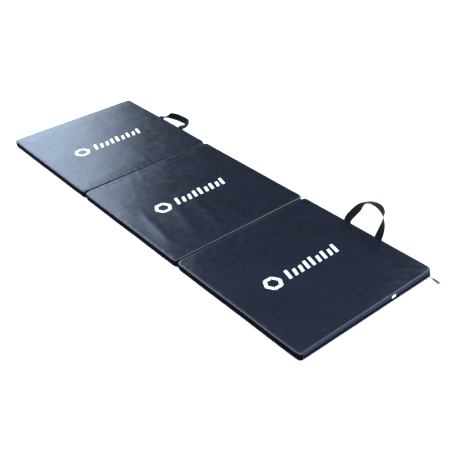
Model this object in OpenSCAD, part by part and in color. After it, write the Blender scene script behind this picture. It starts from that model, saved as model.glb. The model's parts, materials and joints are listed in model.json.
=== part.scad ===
// Folding exercise mat in three padded panels, with two carrying handles.
// The mat lies open and flat on z = 0. Length along X, width along Y.
// The origin is on the resting face, at the centre of the middle panel.
// fold_1 (left) is hinged along the top edges, fold_2 (right) along the bottom edges.

/* [Panels] */
// Length of one panel, along the mat
panel_len = 606; // [500:1:700]
// Width of the mat
panel_w = 610; // [560:1:700]
// Overall thickness of a panel, cover included
panel_t = 32; // [30:1:50]
// Clear gap between two panels at a fold
fold_gap = 6; // [5:0.5:12]
// Radius of a panel's upright corners
corner_r = 12; // [8:1:20]

/* [Cover] */
// Thickness of the coated fabric cover
cover_t = 1; // [0.8:0.1:1.5]
// Thickness of the strip that joins two hinged edges
hinge_strip_t = 0.9; // [0.6:0.1:1.2]

/* [Zip] */
// Height of the zip's centre line above the floor
zip_z = 12; // [11:0.5:14]
// Visible height of the zip, both tapes together
zip_opening = 12; // [11:0.5:14]
// Length of the closed zip
zip_len = 580; // [400:1:580]
// Length of the slider, along the zip
slider_len = 11; // [10:0.5:14]
// Width of the slider, across the zip
slider_w = 10; // [9:0.5:11]
// Length of the pull tab
pull_len = 35; // [24:1:35]
// Width of the pull tab
pull_w = 10; // [6:0.5:10]

/* [Handles] */
// Width of the webbing
web_w = 32; // [25:1:38]
// Thickness of the webbing
web_t = 2.2; // [1.6:0.1:3]
// Distance between the centres of a handle's two sewn ends
handle_pitch = 147; // [130:1:170]
// How far the loop stands out from the panel
handle_reach = 103; // [90:1:110]
// Centre of the left handle, from the left panel's centre
left_handle_offset = 46; // [-60:1:80]
// Centre of the right handle, from the right panel's centre
right_handle_offset = -9; // [-60:1:60]
// Angle of the left loop above level, lying on the floor
left_handle_angle = -12; // [-12:1:0]
// Angle of the right loop above level, standing up
right_handle_angle = 70; // [20:1:80]

/* [Label] */
// Width of the blank label
label_w = 18; // [15:1:40]
// Centre of the label from the mat's long centre line
label_y = 108; // [0:1:200]

/* [Hidden] */

cover_color = "#2b3040";
under_color = "#23262f";
foam_color = "#c9c9cc";
web_color = "#141417";
tape_color = "#17181c";
metal_color = "#6f6a60";
label_color = "#f4f4f2";

fit = 0.3;                                   // clearance between parts that move
half_w = panel_w / 2;
pitch = panel_len + fold_gap;                // centre to centre of two panels
left_x = -pitch;
right_x = pitch;
mat_end = pitch + panel_len / 2;             // outer face of an outer panel
straight_w = panel_w - 2 * corner_r;         // straight part of a wall, along Y
wall_z0 = cover_t;                           // walls run between the two sheets
wall_h = panel_t - 2 * cover_t;
foam_gap = 0.2;                              // foam to cover, all round

zip_x0 = mat_end - cover_t;                  // inner face of the tape
tape_t = 0.7;
coil_slit = 1.2;                             // between the two coil halves
coil_w = 1.6;                                // each half, across the zip
coil_t = 1.5;                                // each half, out of the tape
coil_x0 = zip_x0 + tape_t;
zip_y1 = zip_len / 2;                        // closed end, at the back corner
plate_t = 1.2;
neck_t = 0.6;                                // web between the slider's plates
slider_y = zip_y1 - slider_len / 2 - 1;      // parked at the closed end
front_plate_x = coil_x0 + coil_t + fit;
back_plate_x = zip_x0 - fit - plate_t;
bridge_out = 4.4;                            // how far the bridge stands out
bridge_bar = 1.3;
bridge_h = 1.6;
relief_depth = 3.4;                          // room for the slider behind the tape
link_x = front_plate_x + plate_t + bridge_out - bridge_bar / 2;   // axis of the bridge's bar
link_pitch = 4.5;                            // between the link's two round ends
link_r = 2.4;
link_bar = 1.1;
tab_pivot = link_pitch + link_r - link_bar / 2 - 0.07;            // tab's axis, from the link's
tab_t = 1.2;
tab_eye_r = 1.1;
tab_eye_wall = 1;
pull_drop = 15.5;                            // slope of link and tab, down to the floor
pull_swing = 10;                             // tab's turn to the side, as it lies

hinge_y = half_w + 3;                        // the webbing bends here
hinge_z = panel_t + 1;
sewn_z0 = 6;
sewn_z1 = hinge_z - web_t / 2 - 0.4;

// ---------------------------------------------------------------- panels
module panel_outline(inset) {
  r = corner_r - inset;
  l = panel_len - 2 * inset;
  w = panel_w - 2 * inset;
  square([l - 2 * r, w], center = true);
  square([l, w - 2 * r], center = true);
  for (sx = [-1, 1], sy = [-1, 1])
    translate([sx * (l / 2 - r), sy * (w / 2 - r)]) circle(r = r, $fn = 64);
}

module sheet(x, z) {
  translate([x, 0, z]) linear_extrude(cover_t) panel_outline(0);
}

module foam(x) {
  translate([x, 0, cover_t + foam_gap])
    linear_extrude(wall_h - 2 * foam_gap) panel_outline(cover_t + foam_gap);
}

// One long side of the cover with its two upright corners: side is -1 at the front, 1 at the back
module gusset(x, side) {
  translate([x, 0, wall_z0])
    linear_extrude(wall_h)
      intersection() {
        difference() {
          panel_outline(0);
          panel_outline(cover_t);
        }
        translate([0, side * (half_w - corner_r / 2)])
          square([panel_len + 2, corner_r], center = true);
      }
}

// The straight wall across a panel's end: side is -1 at the left, 1 at the right
module cross_wall(x, side, z0, h) {
  translate([x + side * (panel_len - cover_t) / 2, 0, z0 + h / 2])
    cube([cover_t, straight_w, h], center = true);
}

module left_foam_core() { color(foam_color) foam(left_x); }
module left_top_sheet() { color(cover_color) sheet(left_x, panel_t - cover_t); }
module left_bottom_sheet() { color(under_color) sheet(left_x, 0); }
module left_front_gusset() { color(cover_color) gusset(left_x, -1); }
module left_back_gusset() { color(cover_color) gusset(left_x, 1); }
module left_end_wall() { color(cover_color) cross_wall(left_x, -1, wall_z0, wall_h); }
module left_fold_wall() { color(cover_color) cross_wall(left_x, 1, wall_z0, wall_h); }

module middle_foam_core() { color(foam_color) foam(0); }
module middle_top_sheet() { color(cover_color) sheet(0, panel_t - cover_t); }
module middle_bottom_sheet() { color(under_color) sheet(0, 0); }
module middle_front_gusset() { color(cover_color) gusset(0, -1); }
module middle_back_gusset() { color(cover_color) gusset(0, 1); }
module middle_left_fold_wall() { color(cover_color) cross_wall(0, -1, wall_z0, wall_h); }
module middle_right_fold_wall() { color(cover_color) cross_wall(0, 1, wall_z0, wall_h); }

// Strip that bridges a fold: sewn to the middle panel, and bent round as the fold closes
module hinge_strip(x, z) {
  translate([x - (fold_gap - fit) / 2, -straight_w / 2, z])
    cube([fold_gap - fit, straight_w, hinge_strip_t]);
}
module fold_1_hinge_strip() {
  color(cover_color) hinge_strip(-pitch / 2 + fit / 2, panel_t - hinge_strip_t);
}
module fold_2_hinge_strip() { color(under_color) hinge_strip(pitch / 2 - fit / 2, 0); }

module right_foam_core() {
  color(foam_color)
    difference() {
      foam(right_x);
      // relief behind the zip, where the slider's back plate runs
      translate([mat_end - cover_t - relief_depth, -straight_w / 2, zip_z - slider_w / 2 - 1])
        cube([relief_depth, straight_w, slider_w + 2]);
    }
}
module right_top_sheet() { color(cover_color) sheet(right_x, panel_t - cover_t); }
module right_bottom_sheet() { color(under_color) sheet(right_x, 0); }
module right_front_gusset() { color(cover_color) gusset(right_x, -1); }
module right_back_gusset() { color(cover_color) gusset(right_x, 1); }
module right_fold_wall() { color(cover_color) cross_wall(right_x, -1, wall_z0, wall_h); }
module right_end_wall_upper() {
  z0 = zip_z + zip_opening / 2;
  color(cover_color) cross_wall(right_x, 1, z0, panel_t - cover_t - z0);
}
module right_end_wall_lower() {
  color(cover_color) cross_wall(right_x, 1, wall_z0, zip_z - zip_opening / 2 - wall_z0);
}

// ---------------------------------------------------------------- zip
// side is 1 above the zip's centre line, -1 below it
module zip_tape(side) {
  inner = coil_slit / 2;
  h = zip_opening / 2 - inner;
  translate([zip_x0, -straight_w / 2, side > 0 ? zip_z + inner : zip_z - inner - h])
    cube([tape_t, straight_w, h]);
}
module zip_coil(side) {
  z0 = side > 0 ? zip_z + coil_slit / 2 : zip_z - coil_slit / 2 - coil_w;
  translate([coil_x0, -zip_len / 2, z0]) cube([coil_t, zip_len, coil_w]);
}
module zip_tape_upper() { color(tape_color) zip_tape(1); }
module zip_tape_lower() { color(tape_color) zip_tape(-1); }
module zip_coil_upper() { color(tape_color) zip_coil(1); }
module zip_coil_lower() { color(tape_color) zip_coil(-1); }

stop_len = 3;
stop_w = 2.6;
module zip_top_stops() {
  color(metal_color)
    for (side = [-1, 1])
      translate([coil_x0, zip_y1, side > 0 ? zip_z + coil_slit / 2
                                           : zip_z - coil_slit / 2 - stop_w])
        cube([coil_t + 0.3, stop_len, stop_w]);
}
module zip_bottom_stop() {
  w = coil_slit + 2 * stop_w;
  color(metal_color)
    translate([coil_x0, -zip_y1 - stop_len, zip_z - w / 2])
      cube([coil_t + 0.3, stop_len, w]);
}

// Plan of a slider plate: a rectangle with a round nose at the closing end
module plate_outline() {
  nose = slider_w / 2;
  translate([-slider_len / 2, -slider_w / 2]) square([slider_len - nose * 0.6, slider_w]);
  intersection() {
    translate([-slider_len / 2, -slider_w / 2]) square([slider_len, slider_w]);
    translate([slider_len / 2 - nose, 0]) circle(r = nose, $fn = 48);
  }
}
// Stands a Y-Z outline up as a plate of thickness t whose inner face is at x
module upright(x, t) {
  translate([x, 0, zip_z]) rotate([90, 0, 90]) linear_extrude(t) children();
}
module zip_slider_body() {
  color(metal_color)
    translate([0, slider_y, 0]) {
      upright(front_plate_x, plate_t) plate_outline();
      upright(back_plate_x, plate_t) plate_outline();
      translate([back_plate_x, slider_len / 2 - 4, zip_z - neck_t / 2])
        cube([front_plate_x - back_plate_x + plate_t, 3.5, neck_t]);
    }
}
module zip_slider_bridge() {
  l = slider_len - 2;
  color(metal_color)
    translate([front_plate_x + plate_t, slider_y, zip_z - bridge_h / 2])
      linear_extrude(bridge_h)
        difference() {
          translate([0, -l / 2]) square([bridge_out, l]);
          translate([-1, -l / 2 + bridge_bar])
            square([bridge_out - bridge_bar + 1, l - 2 * bridge_bar]);
        }
}
// Puts its children at the bridge's bar, sloping down to the floor
module on_bridge() {
  translate([link_x, slider_y, zip_z]) rotate([0, pull_drop, 0]) children();
}
// Flat upright ring round the bridge's bar
module zip_pull_link() {
  color(metal_color)
    on_bridge()
      rotate([90, 0, 0])
        linear_extrude(link_bar, center = true)
          difference() {
            link_loop(link_r);
            link_loop(link_r - link_bar);
          }
}
module link_loop(r) {
  for (x = [0, link_pitch]) translate([x, 0]) circle(r = r, $fn = 48);
  translate([0, -r]) square([link_pitch, 2 * r]);
}
// Level tab on the link's outer end, with a hole at its far end
module zip_pull_tab() {
  color(metal_color)
    on_bridge()
      translate([tab_pivot, 0, -tab_t / 2])
        rotate(pull_swing)
          linear_extrude(tab_t)
            difference() {
              tab_outline();
              circle(r = tab_eye_r, $fn = 48);
              translate([pull_len - pull_w / 2, 0]) circle(r = pull_w / 4, $fn = 48);
            }
}
module tab_outline() {
  eye_r = tab_eye_r + tab_eye_wall;
  circle(r = eye_r, $fn = 48);
  translate([0, -eye_r]) square([pull_len / 3, 2 * eye_r]);
  translate([7, -pull_w / 2]) square([pull_len - 7 - pull_w / 2, pull_w]);
  translate([pull_len - pull_w / 2, 0]) circle(r = pull_w / 2, $fn = 48);
}

label_t = 0.6;
label_h = 10;
label_drop = 4;                              // top of the label below the mat's top
module blank_label() {
  color(label_color)
    translate([mat_end + 0.1, label_y - label_w / 2, panel_t - label_drop - label_h])
      cube([label_t, label_w, label_h]);
}

// ---------------------------------------------------------------- handles
// Each station of a loop: [along the edge, out, twist], lengths as shares of half the
// pitch and of the reach. A twist of 0 or 180 lays the webbing flat in the loop's plane.
standing_loop = [[-1, 0, 0], [-0.82, 0.32, 3], [-0.58, 0.6, 14], [-0.27, 0.87, 68],
                 [0.03, 0.98, 80], [0.46, 0.99, 79], [0.76, 0.88, 94],
                 [0.91, 0.7, 126], [1.01, 0.46, 153], [1.02, 0.2, 172], [1, 0, 180]];
lying_loop = [[-1, 0, 0], [-1.01, 0.15, 12], [-1.06, 0.33, 42], [-1, 0.52, 76],
              [-0.68, 0.66, 90], [-0.28, 0.71, 90], [0.08, 0.73, 92], [0.38, 0.68, 106],
              [0.66, 0.46, 148], [0.88, 0.21, 174], [1, 0, 180]];
rings_per_span = 4;

function spline(a, b, c, d, t) =
  0.5 * (2 * b + (c - a) * t + (2 * a - 5 * b + 4 * c - d) * t * t
         + (3 * b - a - 3 * c + d) * t * t * t);
// The stations beyond the ends are set so that the webbing leaves the edge squarely
function beyond(a, b) = [b[0], 2 * a[1] - b[1], 2 * a[2] - b[2]];
function before(s) = beyond(s[0], s[1]);
function after(s) = beyond(s[len(s) - 1], s[len(s) - 2]);
function station(s, i) = i < 0 ? before(s) : i >= len(s) ? after(s) : s[i];
function along(s, u) =
  let (i = min(floor(u), len(s) - 2))
    spline(station(s, i - 1), station(s, i), station(s, i + 1), station(s, i + 2), u - i);
function unit(v) = v / norm(v);

// The ring of four corners at u: in the loop's plane X is along the edge and Y is out
function loop_ring(s, u) =
  let (p = along(s, u),
       scale_uv = [handle_pitch / 2, handle_reach],
       c = [p[0] * scale_uv[0], p[1] * scale_uv[1], 0],
       q = along(s, min(u + 0.02, len(s) - 1)),
       o = along(s, max(u - 0.02, 0)),
       t = unit([(q[0] - o[0]) * scale_uv[0], (q[1] - o[1]) * scale_uv[1], 0]),
       side = [-t[1], t[0], 0],
       w = cos(p[2]) * side + sin(p[2]) * [0, 0, 1],
       n = cross(t, w))
    [for (k = [[-1, -1], [1, -1], [1, 1], [-1, 1]])
      c + w * k[0] * web_w / 2 + n * k[1] * web_t / 2];

module loop_sweep(s) {
  n = (len(s) - 1) * rings_per_span;
  points = [for (i = [0:n]) each loop_ring(s, i / rings_per_span)];
  sides = [for (i = [0:n - 1], k = [0:3])
    let (a = 4 * i + k, b = 4 * i + (k + 1) % 4)
      each [[a, b + 4, b], [a, a + 4, b + 4]]];
  polyhedron(points, concat(sides, [[0, 1, 2, 3], [4 * n + 3, 4 * n + 2, 4 * n + 1, 4 * n]]));
}

// x is the handle's centre along the edge, angle its rise above level
module handle_loop(x, angle, s) {
  color(web_color)
    translate([x, hinge_y, hinge_z]) rotate([angle, 0, 0]) mirror([0, 0, 1]) loop_sweep(s);
}
module sewn_ends(x) {
  color(web_color)
    for (side = [-1, 1])
      translate([x + side * handle_pitch / 2 - web_w / 2, half_w, sewn_z0])
        cube([web_w, web_t, sewn_z1 - sewn_z0]);
}
module left_handle_sewn_ends() { sewn_ends(left_x + left_handle_offset); }
module left_handle_webbing() {
  handle_loop(left_x + left_handle_offset, left_handle_angle, lying_loop);
}
module right_handle_sewn_ends() { sewn_ends(right_x + right_handle_offset); }
module right_handle_webbing() {
  handle_loop(right_x + right_handle_offset, right_handle_angle, standing_loop);
}

left_foam_core();
left_top_sheet();
left_bottom_sheet();
left_front_gusset();
left_back_gusset();
left_end_wall();
left_fold_wall();
middle_foam_core();
middle_top_sheet();
middle_bottom_sheet();
middle_front_gusset();
middle_back_gusset();
middle_left_fold_wall();
middle_right_fold_wall();
fold_1_hinge_strip();
fold_2_hinge_strip();
right_foam_core();
right_top_sheet();
right_bottom_sheet();
right_front_gusset();
right_back_gusset();
right_fold_wall();
right_end_wall_upper();
right_end_wall_lower();
zip_tape_upper();
zip_tape_lower();
zip_coil_upper();
zip_coil_lower();
zip_top_stops();
zip_bottom_stop();
blank_label();
zip_slider_body();
zip_slider_bridge();
zip_pull_link();
zip_pull_tab();
left_handle_sewn_ends();
left_handle_webbing();
right_handle_sewn_ends();
right_handle_webbing();
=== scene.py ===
"""Folding gym mat: three padded panels, two webbing handles and a zipped end wall,
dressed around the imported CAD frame. Metres, X along the mat, Y across it, Z up."""

import json
import math

import bmesh
import bpy
import numpy as np
from mathutils import Matrix, Vector, noise
from mathutils.bvhtree import BVHTree

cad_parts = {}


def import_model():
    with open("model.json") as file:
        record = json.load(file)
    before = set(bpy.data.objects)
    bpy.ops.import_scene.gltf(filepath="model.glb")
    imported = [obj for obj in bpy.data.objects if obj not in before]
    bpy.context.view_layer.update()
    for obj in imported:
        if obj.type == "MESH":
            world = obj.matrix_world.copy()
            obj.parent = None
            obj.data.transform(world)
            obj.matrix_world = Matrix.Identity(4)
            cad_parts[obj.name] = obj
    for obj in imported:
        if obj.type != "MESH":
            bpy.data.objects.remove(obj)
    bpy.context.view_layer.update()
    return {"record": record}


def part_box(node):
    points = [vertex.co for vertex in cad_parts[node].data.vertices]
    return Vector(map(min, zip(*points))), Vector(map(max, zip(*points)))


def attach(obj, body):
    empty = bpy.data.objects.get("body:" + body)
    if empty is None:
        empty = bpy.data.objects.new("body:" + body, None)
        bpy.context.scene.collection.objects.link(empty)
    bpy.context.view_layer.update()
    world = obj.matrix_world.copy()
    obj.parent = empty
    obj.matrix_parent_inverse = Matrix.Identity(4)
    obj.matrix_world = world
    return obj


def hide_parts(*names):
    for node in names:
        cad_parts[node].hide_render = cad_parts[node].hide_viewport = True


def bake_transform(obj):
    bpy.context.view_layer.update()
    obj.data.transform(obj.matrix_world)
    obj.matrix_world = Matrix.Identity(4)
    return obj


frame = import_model()

TAU = 2 * math.pi
PANELS = ("left", "middle", "right")


# ---- materials
class Nodes:
    """A node tree whose nodes are added by name."""

    def __init__(self, tree):
        self.tree = tree
        tree.nodes.clear()

    def put(self, socket, value):
        if isinstance(value, bpy.types.NodeSocket):
            self.tree.links.new(value, socket)
        else:
            socket.default_value = value

    def plug(self, node, inputs):
        for key, value in inputs.items():
            self.put(node.inputs[key], value)
        return node

    def add(self, kind, inputs, out=0, **settings):
        node = self.tree.nodes.new("ShaderNode" + kind)
        for key, value in settings.items():
            setattr(node, key, value)
        return self.plug(node, inputs).outputs[out]

    def math(self, operation, a, b=0.0):
        return self.add("Math", {0: a, 1: b}, operation=operation)

    def times(self, a, b):
        return self.math("MULTIPLY", a, b)

    def spread(self, value, low, high):
        return self.band(value, 0.3, 0.7, low, high)

    def band(self, value, low, high, to_low, to_high, ease="LINEAR"):
        return self.add("MapRange", {"Value": value, "From Min": low, "From Max": high,
                                     "To Min": to_low, "To Max": to_high},
                        interpolation_type=ease)


class Shader(Nodes):
    """A principled material."""

    def __init__(self, name):
        self.material = bpy.data.materials.new(name)
        self.material.use_nodes = True
        super().__init__(self.material.node_tree)
        self.out = self.tree.nodes.new("ShaderNodeOutputMaterial")
        self.main = self.tree.nodes.new("ShaderNodeBsdfPrincipled")
        self.put(self.out.inputs[0], self.main.outputs[0])

    def place(self):
        return self.add("TexCoord", {}, out="Object")

    def uv(self):
        return self.add("TexCoord", {}, out="UV")

    def stretched(self, vector, scale):
        return self.add("Mapping", {"Vector": vector, "Scale": scale})

    def noise(self, vector, scale, detail=3.0, rough=0.5):
        return self.add("TexNoise", {"Vector": vector, "Scale": scale, "Detail": detail,
                                     "Roughness": rough})

    def wave(self, vector, scale, axis):
        return self.add("TexWave", {"Vector": vector, "Scale": scale, "Distortion": 0.0,
                                    "Detail": 1.0}, out="Fac", bands_direction=axis)

    def pebbles(self, vector):
        return self.add("TexVoronoi", {"Vector": vector, "Scale": 620.0, "Randomness": 0.9},
                        out="Distance", feature="SMOOTH_F1")

    def mix(self, factor, a, b):
        node = self.tree.nodes.new("ShaderNodeMix")
        node.data_type = "RGBA"
        names = {"Factor_Float": factor, "A_Color": a, "B_Color": b}
        for socket in node.inputs:
            if socket.identifier in names:
                self.put(socket, names[socket.identifier])
        return next(s for s in node.outputs if s.identifier == "Result_Color")

    def bump(self, height, distance, strength=1.0, normal=None):
        inputs = {"Height": height, "Distance": distance, "Strength": strength}
        if normal is not None:
            inputs["Normal"] = normal
        return self.add("Bump", inputs)

    def attribute(self, name):
        return self.add("Attribute", {}, out="Fac", attribute_name=name)

    def done(self, **inputs):
        names = {"color": "Base Color", "rough": "Roughness", "metal": "Metallic",
                 "normal": "Normal", "specular": "Specular IOR Level"}
        self.plug(self.main, {names[k]: v for k, v in inputs.items()})
        return self.material


def rgb(r, g, b):
    return (r, g, b, 1.0)


def leather(name, dark, light, rough, specular, grain=1.0):
    """Coated fabric: fine pebble grain, slow unevenness, edges rubbed paler and duller."""
    s = Shader(name)
    at = s.place()
    cells = s.pebbles(at)
    pores = s.noise(at, 1500.0, 2.0)
    slow = s.noise(at, 5.0, 4.0, 0.55)
    cloudy = s.noise(at, 38.0, 3.0, 0.6)
    worn = s.times(s.attribute("wear"), s.spread(cloudy, 0.35, 1.0))
    base = s.mix(s.band(slow, 0.35, 0.65, 0.0, 1.0), dark, light)
    rubbed = rgb(*[c * 1.5 + 0.001 for c in light[:3]])
    color = s.mix(s.times(worn, 0.5), base, rubbed)
    height = s.math("ADD", s.times(cells, 0.8), s.times(pores, 0.35))
    fine = s.bump(height, 0.00007 * grain, 0.35)
    uneven = s.bump(s.noise(at, 17.0, 2.0, 0.4), 0.0011, 0.5, fine)
    roughness = s.math("ADD", s.spread(cloudy, rough - 0.02, rough + 0.05), s.times(worn, 0.1))
    return s.done(color=color, rough=roughness, normal=uneven, specular=specular)


def woven(name, dark, light, pitch, rough, specular):
    """Webbing or tape: two crossing rows of threads, from the piece's own lengthwise UV."""
    s = Shader(name)
    at = s.uv()
    turns = 1.0 / pitch
    slant = s.add("Mapping", {"Vector": at, "Rotation": (0.0, 0.0, math.radians(45))})
    a = s.wave(slant, turns * 0.32, "X")
    b = s.wave(slant, turns * 0.32, "Y")
    length_rib = s.wave(at, turns * 0.16, "Y")
    weave = s.math("MAXIMUM", a, b)
    fuzz = s.noise(s.place(), 900.0, 3.0, 0.7)
    patch = s.noise(s.place(), 60.0, 2.0)
    shade = s.times(weave, s.spread(fuzz, 0.7, 1.0))
    color = s.mix(s.times(shade, s.spread(patch, 0.75, 1.0)), dark, light)
    height = s.math("ADD", weave, s.times(length_rib, 0.35))
    normal = s.bump(height, 0.00035, 0.9)
    return s.done(color=color, rough=rough, normal=normal, specular=specular)


def metal(name, dark, light, rough):
    s = Shader(name)
    at = s.place()
    tarnish = s.noise(at, 420.0, 4.0, 0.6)
    scratch = s.noise(s.stretched(at, (900.0, 120.0, 900.0)), 3.0, 2.0)
    color = s.mix(s.band(tarnish, 0.35, 0.65, 0.0, 1.0), dark, light)
    roughness = s.spread(scratch, rough - 0.08, rough + 0.12)
    return s.done(color=color, rough=roughness, metal=1.0, normal=s.bump(scratch, 0.00003, 0.4))


def plastic(name, dark, light, rough):
    s = Shader(name)
    at = s.place()
    grime = s.noise(at, 260.0, 3.0)
    return s.done(color=s.mix(s.band(grime, 0.35, 0.65, 0.0, 1.0), dark, light),
                  rough=s.spread(grime, rough - 0.05, rough + 0.1),
                  normal=s.bump(s.noise(at, 1800.0, 2.0), 0.00004, 0.5), specular=0.1)


def thread_material():
    s = Shader("sewing_thread")
    at = s.place()
    twist = s.noise(at, 2600.0, 1.0)
    color = s.mix(twist, rgb(0.012, 0.015, 0.026), rgb(0.045, 0.052, 0.08))
    return s.done(color=color, rough=0.55, normal=s.bump(twist, 0.00008, 0.7), specular=0.35)


def foam_material():
    s = Shader("closed_cell_foam")
    at = s.place()
    cells = s.add("TexVoronoi", {"Vector": at, "Scale": 700.0}, out="Distance")
    color = s.mix(s.noise(at, 30.0), rgb(0.58, 0.58, 0.6), rgb(0.7, 0.7, 0.72))
    return s.done(color=color, rough=0.85, normal=s.bump(cells, 0.0004, 0.7), specular=0.2)


def label_material():
    s = Shader("woven_label")
    at = s.uv()
    weave = s.times(s.wave(at, 700.0, "X"), s.wave(at, 700.0, "Y"))
    color = s.mix(weave, rgb(0.74, 0.75, 0.76), rgb(0.9, 0.91, 0.92))
    return s.done(color=color, rough=0.6, normal=s.bump(weave, 0.0001, 0.6), specular=0.3)


def print_material():
    """White transfer print: thin ink that takes the grain below it, with pinholes of wear."""
    s = Shader("white_print")
    at = s.place()
    worn = s.noise(at, 240.0, 5.0, 0.7)
    cells = s.pebbles(at)
    color = s.mix(s.band(worn, 0.3, 0.42, 1.0, 0.0), rgb(0.82, 0.83, 0.85), rgb(0.5, 0.52, 0.58))
    return s.done(color=color, rough=s.spread(worn, 0.42, 0.52),
                  normal=s.bump(cells, 0.0001, 0.5), specular=0.4)


def floor_material():
    s = Shader("studio_floor")
    at = s.place()
    soft = s.noise(at, 2.0, 2.0)
    s.done(color=s.mix(soft, rgb(0.91, 0.91, 0.915), rgb(0.93, 0.93, 0.93)), rough=0.9,
           specular=0.05)
    # the sweep hides its underside, for the pose where a panel folds below the others
    back = s.add("NewGeometry", {}, out="Backfacing")
    clear = s.add("BsdfTransparent", {})
    s.put(s.out.inputs[0], s.add("MixShader", {0: back, 1: s.main.outputs[0], 2: clear}))
    return s.material


COVER = leather("navy_cover", rgb(0.0045, 0.0056, 0.0104), rgb(0.006, 0.0075, 0.014), 0.19, 0.5)
# painted light: a paler copy of the navy cover for the end wall's band above the zip, lighter
# because that side faces the light
LIT_END_BAND = leather("end_wall_painted_light", rgb(0.016, 0.021, 0.036), rgb(0.021, 0.0275, 0.046), 0.55, 0.03)
# painted shade: a near-black copy of the navy cover for the walls, standing in for the shade they
# sit in
SHADED_SIDES = leather("side_wall_painted_shade", rgb(0.0009, 0.001, 0.0015), rgb(0.0018, 0.002, 0.003), 0.7, 0.01)
# painted shade: a near-black copy of the cover for the strip over fold 1, darkening the crease
CREASE_SHADE = leather("fold_crease_painted_shade", rgb(0.0009, 0.0013, 0.0026), rgb(0.0014, 0.002, 0.004), 0.6, 0.05)
UNDER = leather("underside_cover", rgb(0.014, 0.016, 0.024), rgb(0.018, 0.021, 0.031), 0.55,
                0.3, grain=1.8)
WEBBING = woven("black_webbing", rgb(0.001, 0.001, 0.0015), rgb(0.0045, 0.0045, 0.006), 0.0016,
                0.5, 0.06)
TAPE = woven("zip_tape", rgb(0.002, 0.002, 0.003), rgb(0.006, 0.0064, 0.008), 0.0008, 0.75, 0.04)
COIL = plastic("zip_coil", rgb(0.003, 0.003, 0.0035), rgb(0.008, 0.008, 0.009), 0.5)
METAL = metal("slider_metal", rgb(0.03, 0.026, 0.018), rgb(0.1, 0.088, 0.062), 0.4)
BRIGHT = metal("link_metal", rgb(0.3, 0.3, 0.29), rgb(0.42, 0.42, 0.4), 0.3)
THREAD = thread_material()
FOAM = foam_material()
LABEL = label_material()
PRINT = print_material()


# ---- helpers
def linked(name, data):
    obj = bpy.data.objects.new(name, data)
    bpy.context.scene.collection.objects.link(obj)
    return obj


def new_object(name, verts, faces, materials):
    mesh = bpy.data.meshes.new(name)
    mesh.from_pydata([tuple(v) for v in verts], [], [tuple(f) for f in faces])
    for m in materials:
        mesh.materials.append(m)
    mesh.shade_smooth()
    return linked(name, mesh)


def from_bmesh(name, bm, material, sharp=40):
    """The object of a bmesh, which is freed: smooth, but for edges over sharp degrees."""
    mesh = bpy.data.meshes.new(name)
    bm.to_mesh(mesh)
    bm.free()
    mesh.materials.append(material)
    if sharp:
        mesh.shade_smooth()
        mesh.set_sharp_from_angle(angle=math.radians(sharp))
    return linked(name, mesh)


def outward(obj):
    bm = bmesh.new()
    bm.from_mesh(obj.data)
    bmesh.ops.recalc_face_normals(bm, faces=bm.faces)
    bm.to_mesh(obj.data)
    bm.free()
    return obj


def tube_faces(first, n, m):
    """The faces of a capped tube: n rings of m points each, numbered from first."""
    faces = []
    for i in range(n - 1):
        for k in range(m):
            a, b = first + i * m + k, first + i * m + (k + 1) % m
            faces.append((a, b, b + m, a + m))
    return faces + [tuple(range(first + m - 1, first - 1, -1)),
                    tuple(range(first + (n - 1) * m, first + n * m))]


def sweep(name, rings, material, across, along):
    """A closed tube through rings of points, capped, with its UV along it and across it."""
    n, m = len(rings), len(rings[0])
    verts = [p for ring in rings for p in ring]
    obj = new_object(name, verts, tube_faces(0, n, m), [material])
    layer = obj.data.uv_layers.new(name="lay")
    u = [across[i % m] for i in range(n * m)]
    v = [along[i // m] for i in range(n * m)]
    for loop in obj.data.loops:
        layer.data[loop.index].uv = (v[loop.vertex_index], u[loop.vertex_index])
    return outward(obj)


def noise_at(*places):
    """Noise at points whose coordinates are given as arrays or single numbers."""
    points = np.broadcast(*places)
    return np.array([noise.noise(Vector(p)) for p in points]).reshape(points.shape)


def smoothstep(a, b, x):
    t = np.clip((x - a) / (b - a), 0, 1)
    return t * t * (3 - 2 * t)


def plate(name, outlines, thickness, edge, matrix, material):
    """A flat part cut from outlines (the first outside, the others holes), edges rounded."""
    curve = bpy.data.curves.new(name, "CURVE")
    curve.dimensions = "2D"
    curve.fill_mode = "BOTH"
    curve.extrude = thickness / 2 - edge
    curve.bevel_depth = edge
    curve.bevel_resolution = 2
    curve.offset = -edge
    for points in outlines:
        spline = curve.splines.new("POLY")
        spline.points.add(len(points) - 1)
        for p, (x, y) in zip(spline.points, points):
            p.co = (x, y, 0, 1)
        spline.use_cyclic_u = True
    source = linked(name, curve)
    bpy.context.view_layer.update()
    flat = bpy.data.meshes.new_from_object(
        source.evaluated_get(bpy.context.evaluated_depsgraph_get()))
    bpy.data.objects.remove(source)
    bpy.data.curves.remove(curve)
    bm = bmesh.new()
    bm.from_mesh(flat)
    bpy.data.meshes.remove(flat)
    bmesh.ops.remove_doubles(bm, verts=bm.verts, dist=1e-6)
    bmesh.ops.transform(bm, matrix=matrix, verts=bm.verts)
    bmesh.ops.recalc_face_normals(bm, faces=bm.faces)
    return from_bmesh(name, bm, material)


def circle(radius, cx, n, start=0.0, turn=TAU):
    angles = [start + turn * i / n for i in range(n)]
    return [(cx + radius * math.cos(a), radius * math.sin(a)) for a in angles]


def join(name, objects):
    bm = bmesh.new()
    for o in objects:
        bm.from_mesh(o.data)
    obj = from_bmesh(name, bm, objects[0].data.materials[0])
    for o in objects:
        bpy.data.objects.remove(o)
    return obj


STITCH = 0.0031
STITCH_GAP = 0.0011
STITCH_R = 0.00034


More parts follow.
